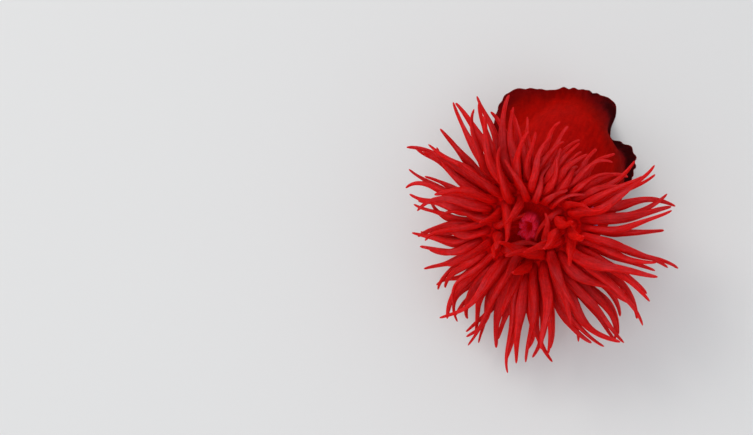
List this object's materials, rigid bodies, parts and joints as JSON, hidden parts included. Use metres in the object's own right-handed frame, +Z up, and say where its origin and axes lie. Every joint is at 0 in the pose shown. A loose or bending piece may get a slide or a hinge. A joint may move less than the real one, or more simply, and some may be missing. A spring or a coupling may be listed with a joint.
{
  "type": "beadlet anemone",
  "caption": "Life-size still model of a red beadlet anemone, open, with a leaning column on a broad foot and a dense crown of tapering tentacles round the mouth.",
  "frame": {"origin": "on the floor, under the middle of the pedal disc", "axes": "+Z up from the foot; the column leans towards -Y and a little towards -X, so the mouth looks up and to -Y; +Y is the side where the bare column shows"},
  "size_m": [0.062, 0.0721, 0.0459],
  "materials": {
    "foot": "wet glossy flesh",
    "column": "wet glossy flesh",
    "collar": "wet glossy flesh",
    "disc": "wet glossy flesh",
    "lips": "wet glossy flesh",
    "tentacle": "wet glossy flesh"
  },
  "bodies": {
    "root": {"pedal_disc": "foot", "column_lower": "column", "column_middle": "column", "column_upper": "column", "collar": "collar", "oral_disc": "disc", "mouth": "lips", "tentacles_inner_01": "tentacle", "tentacles_inner_02": "tentacle", "tentacles_inner_03": "tentacle", "tentacles_inner_04": "tentacle", "tentacles_inner_05": "tentacle", "tentacles_inner_06": "tentacle", "tentacles_inner_07": "tentacle", "tentacles_inner_08": "tentacle", "tentacles_inner_09": "tentacle", "tentacles_inner_10": "tentacle", "tentacles_inner_11": "tentacle", "tentacles_inner_12": "tentacle", "tentacles_inner_13": "tentacle", "tentacles_inner_14": "tentacle", "tentacles_inner_15": "tentacle", "tentacles_inner_16": "tentacle", "tentacles_inner_17": "tentacle", "tentacles_inner_18": "tentacle", "tentacles_inner_19": "tentacle", "tentacles_inner_20": "tentacle", "tentacles_inner_21": "tentacle", "tentacles_inner_22": "tentacle", "tentacles_inner_23": "tentacle", "tentacles_inner_24": "tentacle", "tentacles_outer_01": "tentacle", "tentacles_outer_02": "tentacle", "tentacles_outer_03": "tentacle", "tentacles_outer_04": "tentacle", "tentacles_outer_05": "tentacle", "tentacles_outer_06": "tentacle", "tentacles_outer_07": "tentacle", "tentacles_outer_08": "tentacle", "tentacles_outer_09": "tentacle", "tentacles_outer_10": "tentacle", "tentacles_outer_11": "tentacle", "tentacles_outer_12": "tentacle", "tentacles_outer_13": "tentacle", "tentacles_outer_14": "tentacle", "tentacles_outer_15": "tentacle", "tentacles_outer_16": "tentacle", "tentacles_outer_17": "tentacle", "tentacles_outer_18": "tentacle", "tentacles_outer_19": "tentacle", "tentacles_outer_20": "tentacle", "tentacles_outer_21": "tentacle", "tentacles_outer_22": "tentacle", "tentacles_outer_23": "tentacle", "tentacles_outer_24": "tentacle"}
  },
  "joints": []
}
